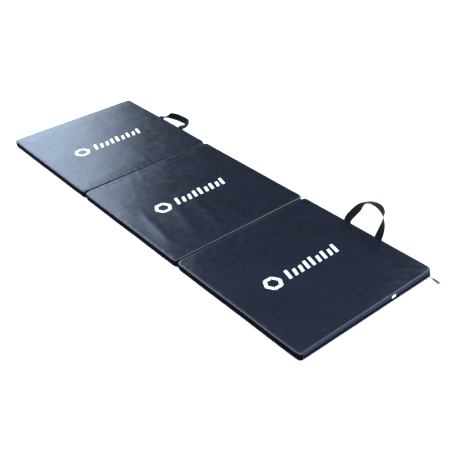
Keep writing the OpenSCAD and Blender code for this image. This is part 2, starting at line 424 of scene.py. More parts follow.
def stitches(name, lines):
    """Rows of raised stitches along lines of (point, surface normal)."""
    verts, faces = [], []
    sides = 6
    profile = [(-0.5, 0.15, -0.3), (-0.36, 0.8, 0.45), (0.0, 1.0, 0.75), (0.36, 0.8, 0.45),
               (0.5, 0.15, -0.3)]
    for line in lines:
        for (a, na), (b, nb) in zip(line, line[1:]):
            a, b, normal = Vector(a), Vector(b), (Vector(na) + Vector(nb)).normalized()
            length = (b - a).length
            count = max(1, round(length / (STITCH + STITCH_GAP)))
            direction = (b - a).normalized()
            side = direction.cross(normal).normalized()
            for i in range(count):
                centre = a + (b - a) * (i + 0.5) / count
                first = len(verts)
                for along, size, lift in profile:
                    c = centre + direction * along * STITCH + normal * lift * STITCH_R
                    for k in range(sides):
                        t = TAU * k / sides
                        verts.append(c + (side * math.cos(t) + normal * math.sin(t))
                                     * STITCH_R * size)
                faces += tube_faces(first, len(profile), sides)
    return outward(new_object(name, verts, faces, [THREAD]))


def set_wear(obj, values):
    obj.data.attributes.new("wear", "FLOAT", "POINT").data.foreach_set("value", values)


# ---- panels
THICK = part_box("middle_top_sheet")[1].z
EDGE = 0.006            # the flat of a panel starts this far in from its outer face
TOP_SEAM = 0.0056       # depth of the upper seam below the top
LOW_SEAM = 0.005        # height of the lower seam
ZIP_LOW, ZIP_HIGH = 0.0062, 0.0178
ZIP_DEPTH = 0.0042
# the rings down a wall: how far in from its face, and how high
UPRIGHT = (THICK - 0.0049, THICK - TOP_SEAM, THICK - 0.0063, THICK - 0.008, 0.0206, 0.0184, ZIP_HIGH,
           0.0172, 0.0146, 0.012, 0.0094, 0.0068, ZIP_LOW, 0.0056, LOW_SEAM)
ROWS = ([(0.004, THICK - 0.0003), (0.0023, THICK - 0.001), (0.001, THICK - 0.0022),
         (0.0003, THICK - 0.0037)] + [(0.0, z) for z in UPRIGHT]
        + [(0.0002, 0.0035), (0.0009, 0.0021), (0.0022, 0.0009), (0.004, 0.0003)])
SEAM_ROW = 5
ZIP_TOP_ROW = 10
LOW_SEAM_ROW = 18
# SIDE slots the painted-shade copy of the cover on the walls, END the painted-light copy on the end
# wall's band above the zip
TOP, SIDE, BELOW, END = range(4)        # a cover's four materials, in their slots' order
CORNER_SPAN = 0.046
CORNER_PULL = 0.0034
ZIP_CORNER_PULL = 0.0064
GRID = 0.0062
EDGE_STEPS = [0.0, 0.002, 0.004, 0.0065, 0.0095, 0.013, 0.017, 0.022, 0.028]


def steps(half):
    inner = half - EDGE_STEPS[-1]
    middle = np.linspace(-inner, inner, round(2 * inner / GRID) + 1)
    low = -half + np.array(EDGE_STEPS[:-1])
    return np.concatenate([low, middle, -low[::-1]])


def round_corners(x, y, hx, hy):
    """Pulls the corners of a rectangle's points in, to a soft round; the back right one most."""
    u = np.clip((np.abs(x) - (hx - CORNER_SPAN)) / CORNER_SPAN, 0, 1)
    v = np.clip((np.abs(y) - (hy - CORNER_SPAN)) / CORNER_SPAN, 0, 1)
    pull = np.where((x > 0) & (y > 0), ZIP_CORNER_PULL, CORNER_PULL)
    return x - np.sign(x) * pull * u * v ** 6, y - np.sign(y) * pull * v * u ** 6


class Pad:
    """The closed cover of one panel: a top grid, rings down the walls, a bottom grid."""

    def __init__(self, panel):
        self.panel = panel
        lo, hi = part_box(panel + "_bottom_sheet")
        self.cx = (lo.x + hi.x) / 2
        self.hx, self.hy = (hi.x - lo.x) / 2, (hi.y - lo.y) / 2
        gx, gy = steps(self.hx - EDGE), steps(self.hy - EDGE)
        self.nx, self.ny = len(gx), len(gy)
        self.build(gx, gy)

    def build(self, gx, gy):
        nx, ny, hx, hy = self.nx, self.ny, self.hx, self.hy
        X, Y = np.meshgrid(gx, gy, indexing="ij")
        x, y = round_corners(X, Y, hx - EDGE, hy - EDGE)
        top = np.stack([x.ravel(), y.ravel(), np.full(nx * ny, THICK)], 1)
        bottom = np.stack([x.ravel(), y.ravel(), np.zeros(nx * ny)], 1)
        loop = ([(i, 0) for i in range(nx - 1)] + [(nx - 1, j) for j in range(ny - 1)]
                + [(i, ny - 1) for i in range(nx - 1, 0, -1)]
                + [(0, j) for j in range(ny - 1, 0, -1)])
        self.loop = np.array(loop)
        px, py = gx[self.loop[:, 0]], gy[self.loop[:, 1]]
        rings = []
        joined = self.joined(px, py)
        for r, (inset, z) in enumerate(ROWS):
            if r < SEAM_ROW:
                z = z + (THICK - z) * 0.75 * joined
            rx = px * (hx - inset * (1 - 0.6 * joined * (r < SEAM_ROW))) / (hx - EDGE)
            ry = py * (hy - inset) / (hy - EDGE)
            rx, ry = round_corners(rx, ry, hx - inset, hy - inset)
            rings.append(np.stack([rx, ry, np.zeros(len(rx)) + z], 1))
        self.per = per = len(loop)
        self.ring0 = nx * ny
        self.bottom0 = self.ring0 + per * len(ROWS)
        self.co = np.concatenate([top] + rings + [bottom])
        self.flat = self.co.copy()
        corners = [i * ny + j for i in range(nx - 1) for j in range(ny - 1)]
        faces = [(a, a + ny, a + ny + 1, a + 1) for a in corners]
        kinds = [TOP] * len(corners)
        edge = [i * ny + j for i, j in loop]
        all_rings = ([edge] + [[self.ring0 + r * per + k for k in range(per)]
                               for r in range(len(ROWS))] + [[self.bottom0 + i for i in edge]])
        for r in range(len(all_rings) - 1):
            a, b = all_rings[r], all_rings[r + 1]
            for k in range(per):
                n = (k + 1) % per
                faces.append((a[k], b[k], b[n], a[n]))
                kinds.append(self.wall_kind(r, (px[k] + px[n]) / 2, (py[k] + py[n]) / 2))
        below = [self.bottom0 + a for a in corners]
        self.faces = faces + [(a, a + 1, a + ny + 1, a + ny) for a in below]
        self.kinds = kinds + [BELOW] * len(below)

    def joined(self, x, y):
        """1 along the top edge that meets the next panel's at fold 1, easing off at its ends."""
        side = {"left": 1, "middle": -1}.get(self.panel, 0)
        meets = x * side > self.hx - EDGE - 0.001
        return meets * smoothstep(0, 0.02, self.hy - 0.012 - np.abs(y))

    def zipped(self, x, y):
        return (self.panel == "right") & (x > self.hx - 0.02) & (abs(y) < self.hy - 0.015)

    def wall_kind(self, r, x, y):
        # walls get the painted-shade copy of the cover, the end wall's band above the zip the
        # painted-light copy
        if r > LOW_SEAM_ROW:
            return BELOW
        if r > 1 and self.zipped(x, y):
            return END if r <= ZIP_TOP_ROW else SIDE
        return TOP if r <= SEAM_ROW else SIDE

    def ring(self, r):
        return slice(self.ring0 + r * self.per, self.ring0 + (r + 1) * self.per)

    def normals(self, r):
        """Level outward directions round the panel at a ring."""
        p = self.flat[self.ring(r), :2]
        t = np.roll(p, -1, 0) - np.roll(p, 1, 0)
        n = np.stack([t[:, 1], -t[:, 0]], 1)
        return n / np.linalg.norm(n, axis=1)[:, None]

    def object(self, name, materials):
        obj = new_object(name, self.co + np.array([self.cx, 0, 0]), self.faces, materials)
        obj.data.polygons.foreach_set("material_index", self.kinds)
        return obj


SIM_FRAMES = 20
SIM_UNEVEN = 0.0006


def simulate(pad):
    """Blows the loose cover up with cloth, held at its two seams, and returns how it moved."""
    scene = bpy.context.scene
    at = np.array([pad.cx, 0, 0])
    obj = pad.object("sim", [])
    held = obj.vertex_groups.new(name="held")
    for r in (SEAM_ROW, LOW_SEAM_ROW):
        held.add(list(range(pad.ring(r).start, pad.ring(r).stop)), 1.0, "REPLACE")
    # a little unevenness, so that the looseness gathers in folds
    start = pad.co.copy()
    x, y, z = pad.co.T
    start[:, 2] += SIM_UNEVEN * noise_at(x * 9 + pad.cx * 3, y * 9, z * 30)
    obj.data.vertices.foreach_set("co", (start + at).ravel())
    cloth = obj.modifiers.new("cloth", "CLOTH")
    s = cloth.settings
    s.quality = 4
    s.mass = 0.25
    s.tension_stiffness = s.compression_stiffness = 20
    s.shear_stiffness = 8
    s.bending_stiffness = 0.4
    s.use_pressure = True
    s.uniform_pressure_force = 4
    s.shrink_min = -0.012
    s.effector_weights.gravity = 0
    s.vertex_group_mass = "held"
    cloth.collision_settings.use_collision = False
    cloth.point_cache.frame_start, cloth.point_cache.frame_end = 1, SIM_FRAMES
    for f in range(1, SIM_FRAMES + 1):
        scene.frame_set(f)
    moved = obj.evaluated_get(bpy.context.evaluated_depsgraph_get()).data
    out = np.empty(len(moved.vertices) * 3)
    moved.vertices.foreach_get("co", out)
    out = out.reshape(-1, 3) - at - pad.co
    mesh = obj.data
    bpy.data.objects.remove(obj)
    bpy.data.meshes.remove(mesh)
    scene.frame_set(1)
    return out


def blur(field, times):
    f = field.copy()
    for _ in range(times):
        p = np.pad(f, 1, mode="edge")
        f = (p[:-2, 1:-1] + p[2:, 1:-1] + p[1:-1, :-2] + p[1:-1, 2:] + 2 * f) / 6
    return f


def ridge(x, y, a, b, width, height):
    """A soft straight fold from a to b."""
    a, b = np.array(a), np.array(b)
    d = b - a
    length = np.linalg.norm(d)
    d = d / length
    along = (x - a[0]) * d[0] + (y - a[1]) * d[1]
    off = (x - a[0]) * -d[1] + (y - a[1]) * d[0]
    fade = smoothstep(-0.25 * length, 0.25 * length, along) * (
        1 - smoothstep(0.75 * length, 1.25 * length, along))
    return height * fade * np.exp(-(off / width) ** 2)


# soft folds in the top covers, in each panel's own plan, metres: from, to, width, height
FOLDS = {
    "left": [((0.1, 0.26), (0.26, 0.12), 0.022, 0.0003),
             ((-0.28, -0.29), (-0.16, -0.22), 0.014, 0.0004)],
    "middle": [((0.02, -0.1), (0.25, -0.16), 0.022, 0.0008),
               ((0.06, -0.02), (0.28, -0.06), 0.019, 0.0006),
               ((-0.02, -0.22), (0.2, -0.25), 0.018, 0.0007),
               ((0.0, 0.06), (0.27, 0.05), 0.024, 0.0004)],
    "right": [((0.2, 0.2), (0.29, 0.28), 0.012, 0.0006),
              ((0.24, 0.13), (0.295, 0.2), 0.01, 0.0005),
              ((-0.28, -0.24), (-0.22, -0.29), 0.012, 0.0003)],
}


CROWN = 0.0004
TOP_UNEVEN = 0.0005
TOP_LIMIT = 0.0017
PUCKER, PUCKER_FADE, PUCKER_REACH = 0.0005, 0.011, 0.03
EDGE_SWELL = 0.0005
SEAM_GROOVE, SEAM_SHOULDER, LOW_SEAM_GROOVE = 0.0013, 0.0003, 0.0009
WALL_SWELL, WALL_WOBBLE, WALL_SWAY, WALL_IN = 0.0009, 0.0004, 0.0007, 0.0004
ZIP_LIP = 0.0002
# the most that is kept of the cloth's own folds, and the size of fold that nears it
CLOTH_TOP, CLOTH_TOP_FOLD = 0.00005, 0.0006
CLOTH_WALL, CLOTH_WALL_FOLD = 0.00025, 0.0005


def cloth_on_walls(pad, moved):
    for r in range(len(ROWS)):
        normals = pad.normals(r)
        out = (moved[pad.ring(r), :2] * normals).sum(1)
        slow = np.convolve(np.concatenate([out[-6:], out, out[:6]]), np.ones(13) / 13, "valid")
        share = CLOTH_WALL * np.tanh((out - slow) / CLOTH_WALL_FOLD)
        pad.co[pad.ring(r), :2] += normals * share[:, None]


def top_relief(pad, moved):
    """Heights on the top grid: its crown, folds and unevenness, and the puckers at its seam."""
    nx, ny = pad.nx, pad.ny
    x, y = pad.flat[:nx * ny, 0].reshape(nx, ny), pad.flat[:nx * ny, 1].reshape(nx, ny)
    from_end, from_side = pad.hx - np.abs(x), pad.hy - np.abs(y)
    to_edge = np.minimum(from_end, from_side)
    z = CROWN * smoothstep(0.0, 0.06, to_edge)
    if moved is not None:
        rise = moved[:nx * ny, 2].reshape(nx, ny)
        z = z + CLOTH_TOP * np.tanh((rise - blur(rise, 30)) / CLOTH_TOP_FOLD)
    for fold in FOLDS[pad.panel]:
        z = z + ridge(x, y, *fold)
    slow = noise_at(x * 7 + pad.cx * 5, y * 7, 0.3)
    z = z + TOP_UNEVEN * slow * smoothstep(0, 0.03, to_edge)
    lengthwise = np.where(from_end < from_side, y, x)
    wave = noise_at(lengthwise * 62 + pad.cx, 3.1 * np.sign(x + y), 0)
    depth = to_edge - EDGE
    pucker = PUCKER * wave * np.exp(-depth / PUCKER_FADE)
    return (z + np.where(depth > PUCKER_REACH, 0, pucker)).ravel()


def wall_relief(pad, r, height):
    """How far each point of a ring stands out: grooves at the seams, bulges, the zip's trough."""
    x, y = pad.flat[pad.ring(r), :2].T
    out = np.zeros(pad.per)
    if 1 <= r < SEAM_ROW:
        out += EDGE_SWELL
    if r == SEAM_ROW:
        out -= SEAM_GROOVE
    if r in (SEAM_ROW - 1, SEAM_ROW + 1):
        out -= SEAM_SHOULDER
    if r == LOW_SEAM_ROW:
        out -= LOW_SEAM_GROOVE
    between = (height - LOW_SEAM) / (THICK - TOP_SEAM - LOW_SEAM)
    zip_here = pad.zipped(x, y)
    if 0 < between < 1:
        out += np.where(zip_here, 0.0, WALL_SWELL * math.sin(math.pi * between))
    wobble = noise_at(x * 30, y * 30, height * 60 + pad.cx)
    out += WALL_WOBBLE * wobble * (1 if between < 1.1 else 0.5)
    if ZIP_LOW + 0.0001 < height < ZIP_HIGH - 0.0001:
        out = np.where(zip_here, -ZIP_DEPTH, out)
    elif ZIP_LOW - 0.001 < height < ZIP_HIGH + 0.001:
        out = np.where(zip_here, -ZIP_LIP, out)
    return out + (WALL_SWAY * noise_at(x * 6, y * 6, pad.cx) - WALL_IN)


def finish_pad(pad):
    """Adds the relief of the top and the walls, and a share of the cloth's own folds."""
    moved = simulate(pad)
    if moved is not None:
        cloth_on_walls(pad, moved)
    co, top = pad.co, slice(0, pad.nx * pad.ny)
    co[top, 2] = pad.flat[top, 2] + np.minimum(top_relief(pad, moved), TOP_LIMIT)
    ring_z = co[top, 2].reshape(pad.nx, pad.ny)[pad.loop[:, 0], pad.loop[:, 1]] - THICK
    for r in range(4):
        co[pad.ring(r), 2] += ring_z * (1 - r / 4)
    for r, (_, height) in enumerate(ROWS):
        co[pad.ring(r), :2] += pad.normals(r) * wall_relief(pad, r, height)[:, None]
    # the bottom rests flat
    co[:, 2] = np.maximum(co[:, 2], 0.0)


def wear_map(pad, obj):
    """Rubbed edges: strong on the rounded upper edge and the corners."""
    wear = np.zeros(len(pad.co))
    for r, strength in enumerate((0.35, 0.8, 1.0, 0.7, 0.3)):
        wear[pad.ring(r)] = strength
    for r in (1, 2, 3):
        wear[pad.ring(LOW_SEAM_ROW + r)] = 0.6
    corner = (np.clip(np.abs(pad.flat[:, 0]) / pad.hx, 0, 1) ** 14
              * np.clip(np.abs(pad.flat[:, 1]) / pad.hy, 0, 1) ** 14)
    set_wear(obj, np.clip(wear + 0.6 * corner, 0, 1).astype(np.float32))


pads, trees = {}, {}
for panel in PANELS:
    pad = Pad(panel)
    finish_pad(pad)
    obj = pad.object(panel + "_padded_cover", [COVER, SHADED_SIDES, UNDER, LIT_END_BAND])
    wear_map(pad, obj)
    pads[panel] = obj
    trees[panel] = BVHTree.FromObject(obj, bpy.context.evaluated_depsgraph_get())
    names = [n for n in frame["record"]["behaviour"]["bodies"][panel + "_panel"]
             if n.startswith(panel) and "foam" not in n and "sewn" not in n]
    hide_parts(*names)
    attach(obj, panel + "_panel")


FOAM_BEVEL = 0.0045
FOAM_CLEAR = 0.0015     # each side's gap to the cover
FOAM_RELIEF, FOAM_RELIEF_BACK = 0.0035, 0.005


def foam_block(panel):
    """The foam core: a slab with cut edges just broken, relieved behind the zip."""
    lo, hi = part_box(panel + "_foam_core")
    size = hi - lo
    bm = bmesh.new()
    bmesh.ops.create_grid(bm, x_segments=24, y_segments=24, size=0.5)
    bmesh.ops.scale(bm, vec=(size.x, size.y, 1), verts=bm.verts)
    bmesh.ops.translate(bm, vec=(0, 0, -size.z / 2), verts=bm.verts)
    geometry = bmesh.ops.extrude_face_region(bm, geom=bm.faces[:])
    moved = [g for g in geometry["geom"] if isinstance(g, bmesh.types.BMVert)]
    bmesh.ops.translate(bm, vec=(0, 0, size.z), verts=moved)
    bmesh.ops.recalc_face_normals(bm, faces=bm.faces)
    rim = [e for e in bm.edges if e.calc_face_angle(0) > 0.5]
    bmesh.ops.bevel(bm, geom=rim, offset=FOAM_BEVEL, segments=3, affect="EDGES", profile=0.5)
    middle = (lo + hi) / 2
    for v in bm.verts:
        v.co += middle
        v.co.z += 0.0002 * noise.noise(v.co * 40)
        # keeps clear inside the cover, and behind the zip's trough
        x = (v.co.x - middle.x) * (size.x - 2 * FOAM_CLEAR) / size.x
        y = (v.co.y - middle.y) * (size.y - 2 * FOAM_CLEAR) / size.y
        x, y = round_corners(x, y, size.x / 2 - FOAM_CLEAR, size.y / 2 - FOAM_CLEAR)
        v.co.x, v.co.y = middle.x + float(x), middle.y + float(y)
        if panel == "right" and v.co.x > hi.x - FOAM_RELIEF_BACK:
            v.co.x -= FOAM_RELIEF
    obj = from_bmesh(panel + "_foam", bm, FOAM, sharp=35)
    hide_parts(panel + "_foam_core")
    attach(obj, panel + "_panel")


for panel in PANELS:
    foam_block(panel)


# ---- hinge strips
RIBBON_STEP = 0.008


def strip_along_y(name, centre_line, half_t, y0, y1, material, wobble=0.0):
    """A ribbon with its section in the XZ plane, running along Y; returns its width too."""
    rings, places = [], []
    n = max(2, round((y1 - y0) / RIBBON_STEP))
    line = [Vector((x, 0, z)) for x, z in centre_line]
    sides = []
    for i, p in enumerate(line):
        t = (line[min(i + 1, len(line) - 1)] - line[max(i - 1, 0)]).normalized()
        sides.append(Vector((-t.z, 0, t.x)))
    for k in range(n + 1):
        y = y0 + (y1 - y0) * k / n
        lift = wobble * noise.noise(Vector((y * 55, 1.7, centre_line[0][0] * 9)))
        up = [p + s * half_t + Vector((0, y, lift)) for p, s in zip(line, sides)]
        down = [p - s * half_t + Vector((0, y, lift)) for p, s in zip(line, sides)]
        rings.append(up + down[::-1])
        places.append(y)
    distances = [0.0]
    for p, q in zip(line, line[1:]):
        distances.append(distances[-1] + (q - p).length)
    return sweep(name, rings, material, distances + distances[::-1], places), distances[-1]


def hinge_strip(node, at_top, material):
    lo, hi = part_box(node)
    x = (lo.x + hi.x) / 2
    reach, half_t = 0.0058, 0.00045         # half of the strip's width and thickness
    if at_top:
        z, ripple = hi.z - 0.0011, 0.00015
        middle, half = -0.0024, [(0.2, -0.0019), (0.45, -0.0007), (0.72, -0.0001), (1, 0.0)]
    else:
        z, ripple = lo.z + 0.0006, 0.0
        middle, half = 0.0001, [(0.25, 0.0), (0.6, 0.0), (1, 0.0006)]
    shape = [(-s, d) for s, d in half[::-1]] + [(0, middle)] + half
    line = [(x + s * reach, z + d) for s, d in shape]
    obj, width = strip_along_y(node + "_cloth", line, half_t, lo.y, hi.y, material, ripple)
    set_wear(obj, [0.3] * len(obj.data.vertices))
    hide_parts(node)
    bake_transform(obj)


# the strip over fold 1 takes the painted-shade copy of the cover
hinge_strip("fold_1_hinge_strip", True, CREASE_SHADE)
hinge_strip("fold_2_hinge_strip", False, UNDER)


# ---- printed marks
def on_pad(panel, x, y):
    hit = trees[panel].ray_cast(Vector((x, y, 0.1)), Vector((0, 0, -1)))
    return hit[0].z


MARK_UP = 0.00016
MARK_DOWN = 0.0004
BAR_FOOT = -0.021
BAR_TOPS = (0.024, 0.012, 0.012, 0.02, 0.024, 0.012, 0.02, 0.012, 0.024)


def mark(panel, cx):
    """A plain white motif: a hexagon ring and a row of slanted bars, reading along +Y."""
    shapes = []
    ring_y, outer, inner, nick = -0.14, 0.035, 0.021, 3
    for k in range(6):
        a, b = math.radians(60 * k + nick), math.radians(60 * (k + 1) - nick)
        shapes.append([(ring_y + r * math.cos(t), r * math.sin(t))
                       for r, t in ((outer, a), (outer, b), (inner, b), (inner, a))])
    y, slant, bar, gap = -0.078, 0.006, 0.0125, 0.0148
    for high in BAR_TOPS:
        shapes.append([(y - slant, BAR_FOOT), (y + bar - slant, BAR_FOOT),
                       (y + bar + slant, high), (y + slant, high)])
        y += bar + gap
    bm = bmesh.new()
    for shape in shapes:
        bm.faces.new([bm.verts.new((cx - up, along, 0)) for along, up in shape])
    cell = 0.005
    for axis in (0, 1):
        reach = [v.co[axis] for v in bm.verts]
        low, high = min(reach), max(reach)
        for k in range(1, int((high - low) / cell) + 1):
            point, normal = [0, 0, 0], [0, 0, 0]
            point[axis], normal[axis] = low + k * cell, 1
            bmesh.ops.bisect_plane(bm, geom=bm.verts[:] + bm.edges[:] + bm.faces[:],
                                   plane_co=point, plane_no=normal)
    for v in bm.verts:
        v.co.z = on_pad(panel, v.co.x, v.co.y) + MARK_UP
    bmesh.ops.recalc_face_normals(bm, faces=bm.faces)
    for f in bm.faces:
        if f.normal.z < 0:
            f.normal_flip()
    grown = bmesh.ops.extrude_face_region(bm, geom=bm.faces[:])
    for g in grown["geom"]:
        if isinstance(g, bmesh.types.BMVert):
            g.co.z -= MARK_UP + MARK_DOWN
    bmesh.ops.recalc_face_normals(bm, faces=bm.faces)
    obj = from_bmesh(panel + "_print", bm, PRINT, sharp=None)
    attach(obj, panel + "_panel")


for panel, shift in (("left", 0.012), ("middle", 0.0), ("right", 0.006)):
    lo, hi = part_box(panel + "_top_sheet")
    mark(panel, (lo.x + hi.x) / 2 + shift)


# ---- handles
HANDLE_PITCH = 0.147
HANDLE_REACH = 0.103
WEB_W = 0.032
WEB_T = 0.0021
BEND_Y, BEND_Z = 0.308, 0.033
WALL_TOP = BEND_Z - 0.004       # the webbing leaves the wall here
WALL_GAP = 0.0002               # and lies this far off it
BEND_LENGTH = 0.009             # a length along the webbing from its bend, for the start and end points worked out below
PER_SPAN = 8
# the upper half of the webbing's section, in halves of its width and thickness
WEB_SECTION = [(-1, 0), (-0.985, 0.62), (-0.93, 1), (-0.5, 0.94), (0, 0.9), (0.5, 0.94), (0.93, 1),
               (0.985, 0.62)]
# stations of each loop: along the edge, out, and the webbing's twist
STANDING = [(-1, 0, 0), (-0.82, 0.32, 3), (-0.58, 0.6, 14), (-0.27, 0.87, 68), (0.03, 0.98, 80),
            (0.46, 0.99, 79), (0.76, 0.88, 94), (0.91, 0.7, 126), (1.01, 0.46, 153),
            (1.02, 0.2, 172), (1, 0, 180)]
LYING = [(-1, 0, 0), (-1.01, 0.15, 12), (-1.06, 0.33, 42), (-1, 0.52, 76), (-0.68, 0.66, 90),
         (-0.28, 0.71, 90), (0.08, 0.73, 92), (0.38, 0.68, 106), (0.66, 0.46, 148),
         (0.88, 0.21, 174), (1, 0, 180)]


def along(stations, u):
    s = [np.array(p, float) for p in stations]
    beyond = lambda a, b: np.array([b[0], 2 * a[1] - b[1], 2 * a[2] - b[2]])
    s = [beyond(s[0], s[1])] + s + [beyond(s[-1], s[-2])]
    i = min(int(u), len(stations) - 2)
    t = u - i
    a, b, c, d = s[i:i + 4]
    return 0.5 * (2 * b + (c - a) * t + (2 * a - 5 * b + 4 * c - d) * t * t
                  + (3 * b - a - 3 * c + d) * t ** 3)


def sewn_end(side, x, rise, sign):
    """Frames of the webbing at x: up the wall, then round the bend to the loop's slope."""
    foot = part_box(side + "_handle_sewn_ends")[0]
    wall_y = foot.y + WEB_T / 2 + WALL_GAP
    across = Vector((-1, 0, 0))
    rows = [(Vector((x, wall_y, z)), across, Vector((0, sign, 0)))
            for z in np.linspace(foot.z, WALL_TOP, 9)]
    for t in (0.25, 0.5, 0.75):
        a = math.pi / 2 + (rise - math.pi / 2) * t
        c = Vector((x, wall_y, WALL_TOP)).lerp(Vector((x, BEND_Y, BEND_Z)), t)
        c.z += 0.001 * math.sin(math.pi * t)
        rows.append((c, across, Vector((0, math.sin(a), -math.cos(a))) * sign))
    return rows


def loop_frames(cx, rise, stations):
    """Frames of the webbing round the free loop, which leans up from level by rise."""
    out = Vector((0, math.cos(rise), math.sin(rise)))
    up = Vector((0, -math.sin(rise), math.cos(rise)))
    world = lambda v: Vector((v.x, 0, 0)) + out * v.y - up * v.z
    base = Vector((cx, BEND_Y, BEND_Z))
    scale = np.array([HANDLE_PITCH / 2, HANDLE_REACH])
    spans = len(stations) - 1
    frames = []
    for k in range(spans * PER_SPAN + 1):
        u = k / PER_SPAN
        p = along(stations, u)
        ahead, behind = along(stations, min(u + 0.02, spans)), along(stations, max(u - 0.02, 0))
        step = (ahead[:2] - behind[:2]) * scale
        step /= np.linalg.norm(step)
        t = Vector((step[0], step[1], 0))
        twist = math.radians(p[2])
        w = Vector((-t.y, t.x, 0)) * math.cos(twist) + Vector((0, 0, 1)) * math.sin(twist)
        c = base + Vector((p[0] * scale[0], 0, 0)) + out * (p[1] * scale[1])
        frames.append((c, world(w), world(t.cross(w))))
    return frames


def handle(side, cx, rise, stations):
    """One length of webbing: up the back wall, round the loop, and down the wall again."""
    rise = math.radians(rise)
    first = sewn_end(side, cx - HANDLE_PITCH / 2, rise, 1)
    last = sewn_end(side, cx + HANDLE_PITCH / 2, rise, -1)[::-1]
    frames = first + loop_frames(cx, rise, stations) + last
    half_w = WEB_W / 2
    section = [(a * half_w, b * WEB_T / 2) for a, b in WEB_SECTION]
    section += [(-a, -b) for a, b in section]
    rings, lengths = [], [0.0]
    for i, (c, w, n) in enumerate(frames):
        if i:
            lengths.append(lengths[-1] + (c - frames[i - 1][0]).length)
        loose = len(first) <= i < len(frames) - len(last)
        ripple = 0.0005 * noise.noise(Vector((lengths[-1] * 45, cx, 0.0))) * loose
        rings.append([c + w * a + n * (b + ripple * (1 - (a / half_w) ** 2)) for a, b in section])
    obj = sweep(side + "_handle_strap", rings, WEBBING, [a for a, _ in section], lengths)
    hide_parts(side + "_handle_webbing", side + "_handle_sewn_ends")
    return obj


SEWN_LINE, SEWN_TOP = 0.0034, 0.0042     # from the stitches to the webbing's edges and upper end


def box_stitch(side, cx):
    """A box with a cross in it on each sewn end."""
    lo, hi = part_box(side + "_handle_sewn_ends")
    y = hi.y + 0.0001
    lines = []
    for sign in (-1, 1):
        x = cx + sign * HANDLE_PITCH / 2
        x0, x1 = x - WEB_W / 2 + SEWN_LINE, x + WEB_W / 2 - SEWN_LINE
        z0, z1 = lo.z + SEWN_LINE, hi.z - SEWN_TOP
        corners = [(x0, z0), (x1, z0), (x1, z1), (x0, z1)]
        for path in (corners + [corners[0], corners[2]], [corners[1], corners[3]]):
            lines.append([((a, y, b), (0, 1, 0)) for a, b in path])
    obj = stitches(side + "_handle_stitches", lines)
    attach(obj, side + "_panel")


for side, rise, stations in (("left", -12, LYING), ("right", 70, STANDING)):
    lo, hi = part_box(side + "_handle_sewn_ends")
    cx = (lo.x + hi.x) / 2
    strap = handle(side, cx, rise, stations)
    if side == "left":
        start, end = (cx, hi.y + 0.0003, BEND_Z), (cx, hi.y + BEND_LENGTH, BEND_Z)
    else:
        start, end = (cx, BEND_Y, hi.z), (cx, BEND_Y, hi.z + BEND_LENGTH)
    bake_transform(strap)
    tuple(start)
    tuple(end)
    box_stitch(side, cx)


# ---- zip
ZIP_Z = (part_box("zip_tape_upper")[0].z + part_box("zip_tape_lower")[1].z) / 2
STAND_UP = Matrix(((0, 0, 1, 0), (1, 0, 0, 0), (0, 1, 0, 0), (0, 0, 0, 1)))


def zip_piece(obj, node, body):
    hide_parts(node)
    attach(obj, body)


def zip_tape(node):
    lo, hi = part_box(node)
    x = (lo.x + hi.x) / 2
    bulge, half_t, n = 0.0002, 0.0003, 6
    line = [(x + bulge * math.sin(math.pi * k / n), lo.z + (hi.z - lo.z) * k / n)
            for k in range(n + 1)]
    obj, _ = strip_along_y(node + "_cloth", line, half_t, lo.y, hi.y, TAPE)
    zip_piece(obj, node, "right_panel")


def zip_coil(node, sign):
    """A flattened spiral of nylon wire, one turn a tooth."""
    lo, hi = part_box(node)
    wire, pitch, around, sides = 0.00028, 0.0015, 10, 5
    cx, cz = (lo.x + hi.x) / 2, (lo.z + hi.z) / 2
    rx, rz = (hi.x - lo.x) / 2 - wire, (hi.z - lo.z) / 2 - wire
    turns = int((hi.y - lo.y - 2 * wire) / pitch)
    path = []
    for k in range(turns * around + 1):
        t = TAU * k / around
        lean = 0.3 * pitch * math.cos(t) * sign
        path.append(Vector((cx + rx * math.sin(t), lo.y + wire + pitch * (k / around) + lean,
                            cz + rz * math.cos(t) * sign)))
    rings = []
    for i, p in enumerate(path):
        t = (path[min(i + 1, len(path) - 1)] - path[max(i - 1, 0)]).normalized()
        a = t.cross(Vector((0, 1, 0.001))).normalized()
        b = t.cross(a)
        rings.append([p + (a * math.cos(TAU * k / sides) + b * math.sin(TAU * k / sides)) * wire
                      for k in range(sides)])
    obj = sweep(node + "_teeth", rings, COIL, [0.0] * sides, [0.0] * len(rings))
    zip_piece(obj, node, "right_panel")


for node in ("zip_tape_upper", "zip_tape_lower"):
    zip_tape(node)
zip_coil("zip_coil_upper", 1)
zip_coil("zip_coil_lower", -1)


def rectangle(x0, y0, x1, y1, r, n=5):
    """An outline with round corners."""
    corners = ((x1 - r, y1 - r), (x0 + r, y1 - r), (x0 + r, y0 + r), (x1 - r, y0 + r))
    return [(x + r * math.cos(a), y + r * math.sin(a)) for quarter, (x, y) in enumerate(corners)
            for a in [math.pi / 2 * (quarter + k / n) for k in range(n + 1)]]


def stops(node):
    """Bent metal tags clamped over the ends of the coil: one over both halves, or one each."""
    lo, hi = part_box(node)
    slit, corner, edge = 0.0006, 0.0006, 0.0004
    halves = [(lo.z, ZIP_Z - slit), (ZIP_Z + slit, hi.z)]
    if node == "zip_bottom_stop":
        halves = [(lo.z, hi.z)]
    at = Matrix.Translation((((lo + hi) / 2).x, 0, 0)) @ STAND_UP
    tags = [plate(node, [rectangle(lo.y, z0, hi.y, z1, corner)], hi.x - lo.x, edge, at, METAL)
            for z0, z1 in halves]
    zip_piece(join(node + "_tag", tags), node, "right_panel")


stops("zip_top_stops")
stops("zip_bottom_stop")


